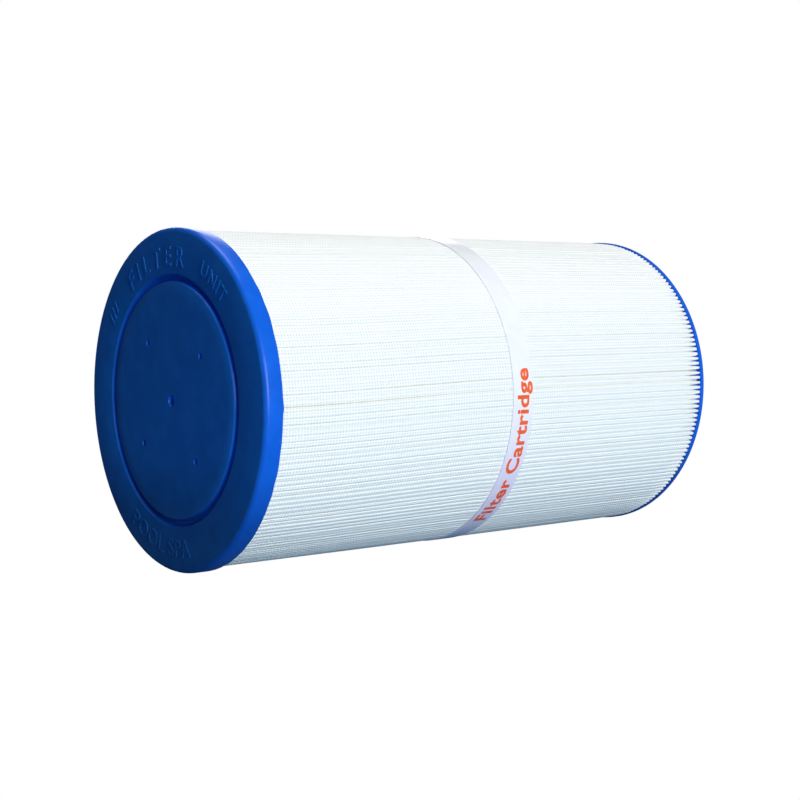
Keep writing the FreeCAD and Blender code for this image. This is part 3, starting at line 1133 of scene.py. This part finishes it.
tree.links.new(tone.outputs["Result"], dark_dots.inputs["A"])
tree.links.new(dot_colour.outputs["Result"], dark_dots.inputs["B"])
tree.links.new(dark_dots.outputs["Result"], shader.inputs["Base Color"])
tree.links.new(threads.outputs["Fac"], felt.inputs[0])
tree.links.new(dent.outputs["Result"], felt.inputs[2])
tree.links.new(felt.outputs[0], bump.inputs["Height"])
tree.links.new(bump.outputs["Normal"], shader.inputs["Normal"])
shader.inputs["Roughness"].default_value = 0.85
shader.inputs["Specular IOR Level"].default_value = 0.25
shader.inputs["Sheen Weight"].default_value = 0.05
print("polyester has", len(tree.nodes), "nodes")

# %% [markdown]
# ### Which finish goes where
#
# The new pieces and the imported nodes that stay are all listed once, each with its material. The
# material sits on the object's slot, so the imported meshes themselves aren't changed.

# %% Give every piece its finish
def finish_with(piece, material):
    """Puts one material in all of a piece's slots."""
    if not piece.material_slots:
        piece.data.materials.append(material)
    for slot in piece.material_slots:
        slot.link = "OBJECT"
        slot.material = material


nodes = frame["nodes"]
for piece, material in (
    (pleated_sheet, polyester),
    (glue_seam, glue_beige),
    (second_glue, glue_beige),
    (closed_cap, blue_cast),
    (open_cap, blue_cast),
    (top_words, blue_cast),
    (side_words, blue_cast),
    (marks, blue_cast),
    (low_words, blue_cast),
    (first_word, print_orange),
    (second_word, print_orange),
    (nodes["pleat_band"], band_pearl),
    (nodes["core_closed_half"], core_white),
    (nodes["core_open_half"], core_white),
    (nodes["core_plug"], core_white),
    (nodes["threaded_adaptor"], adaptor_white),
    (nodes["adaptor_gasket"], gasket_black),
):
    finish_with(piece, material)
print("finishes", len(bpy.data.materials))

# %% [markdown]
# ## Studio
#
# The cartridge lies in bright, even light on a white ground. Two big soft lights do most of it:
# one overhead and one low in front. Both shine along the closed face, so that it stays in shade
# while the rim and the pleats are lit. The ground and the sky look white to the camera, but give
# only a dim, bluish light back, or the shaded face would turn pale.

# %% Floor and sky
FLOOR_LEVEL = -CAP_RADIUS
FLOOR_SIZE = 12
bpy.ops.object.select_all(action="DESELECT")
bpy.ops.mesh.primitive_plane_add(size=FLOOR_SIZE, location=(0, 0, FLOOR_LEVEL))
floor = bpy.context.object
floor.name = "studio_floor"

ground = bpy.data.materials.new("white_ground")
ground.use_nodes = True
tree = ground.node_tree
tree.nodes.clear()
seen = node(tree, "ShaderNodeLightPath", -400, 200)
bright = node(tree, "ShaderNodeEmission", -400, 0)
bright.inputs["Strength"].default_value = 1.0
dull = node(tree, "ShaderNodeBsdfDiffuse", -400, -150)
spot = node(tree, "ShaderNodeTexCoord", -1000, -200)
parts = node(tree, "ShaderNodeSeparateXYZ", -800, -200)
behind = node(tree, "ShaderNodeMapRange", -620, -200, interpolation_type="SMOOTHSTEP")
behind.inputs["From Min"].default_value = -0.05
behind.inputs["From Max"].default_value = 0.20
shade = node(tree, "ShaderNodeMix", -420, -300, data_type="RGBA")
shade.inputs["A"].default_value = (0.08, 0.28, 0.45, 1)
shade.inputs["B"].default_value = (0.03, 0.04, 0.05, 1)
tree.links.new(spot.outputs["Object"], parts.inputs["Vector"])
tree.links.new(parts.outputs["Y"], behind.inputs["Value"])
tree.links.new(behind.outputs["Result"], shade.inputs["Factor"])
tree.links.new(shade.outputs["Result"], dull.inputs["Color"])
choose = node(tree, "ShaderNodeMixShader", -100, 0)
surface = node(tree, "ShaderNodeOutputMaterial", 100, 0)
tree.links.new(seen.outputs["Is Camera Ray"], choose.inputs["Fac"])
tree.links.new(dull.outputs["BSDF"], choose.inputs[1])
tree.links.new(bright.outputs["Emission"], choose.inputs[2])
tree.links.new(choose.outputs["Shader"], surface.inputs["Surface"])
floor.data.materials.append(ground)

sky = bpy.data.worlds.new("studio")
bpy.context.scene.world = sky
sky.use_nodes = True
tree = sky.node_tree
tree.nodes.clear()
seen = node(tree, "ShaderNodeLightPath", -600, 200)
white = node(tree, "ShaderNodeBackground", -400, 0)
white.inputs["Color"].default_value = (1, 1, 1, 1)
faint = node(tree, "ShaderNodeBackground", -400, -150)
faint.inputs["Color"].default_value = (0.55, 0.82, 1.0, 1)
faint.inputs["Strength"].default_value = 0.06
choose = node(tree, "ShaderNodeMixShader", -100, 0)
surface = node(tree, "ShaderNodeOutputWorld", 100, 0)
tree.links.new(seen.outputs["Is Camera Ray"], choose.inputs["Fac"])
tree.links.new(faint.outputs["Background"], choose.inputs[1])
tree.links.new(white.outputs["Background"], choose.inputs[2])
tree.links.new(choose.outputs["Shader"], surface.inputs["Surface"])
bpy.context.scene.view_settings.view_transform = "Standard"
print("floor at", round(FLOOR_LEVEL / MM, 1), "mm")

# %% [markdown]
# ### Lights
#
# Each light is far away and large, so that brightness hardly changes from end to end. Its power
# follows from the light wanted on the pleats: about 9.9 times the distance squared, in watts, for
# a white surface that faces it to look fully white. The third, behind, only lifts the far side.

# %% Lights
MIDDLE = Vector((-130, 0, 0)) * MM


def soft_light(name, offset, width, height, watts):
    """A rectangular soft light beside the cartridge's middle, turned to it."""
    bpy.ops.object.select_all(action="DESELECT")
    place = MIDDLE + Vector(offset)
    turn = (MIDDLE - place).to_track_quat("-Z", "Y").to_euler()
    bpy.ops.object.light_add(type="AREA", location=place, rotation=turn)
    light = bpy.context.object
    light.name = name
    light.data.shape = "RECTANGLE"
    light.data.size = width
    light.data.size_y = height
    light.data.energy = watts


soft_light("overhead", (0.10, 0.48, 1.94), width=1.2, height=1.2, watts=20.5)
soft_light("front", (-0.30, -2.10, 0.48), width=1.0, height=0.9, watts=45)
soft_light("back", (0.95, 1.80, 0.75), width=1.2, height=1.0, watts=15)
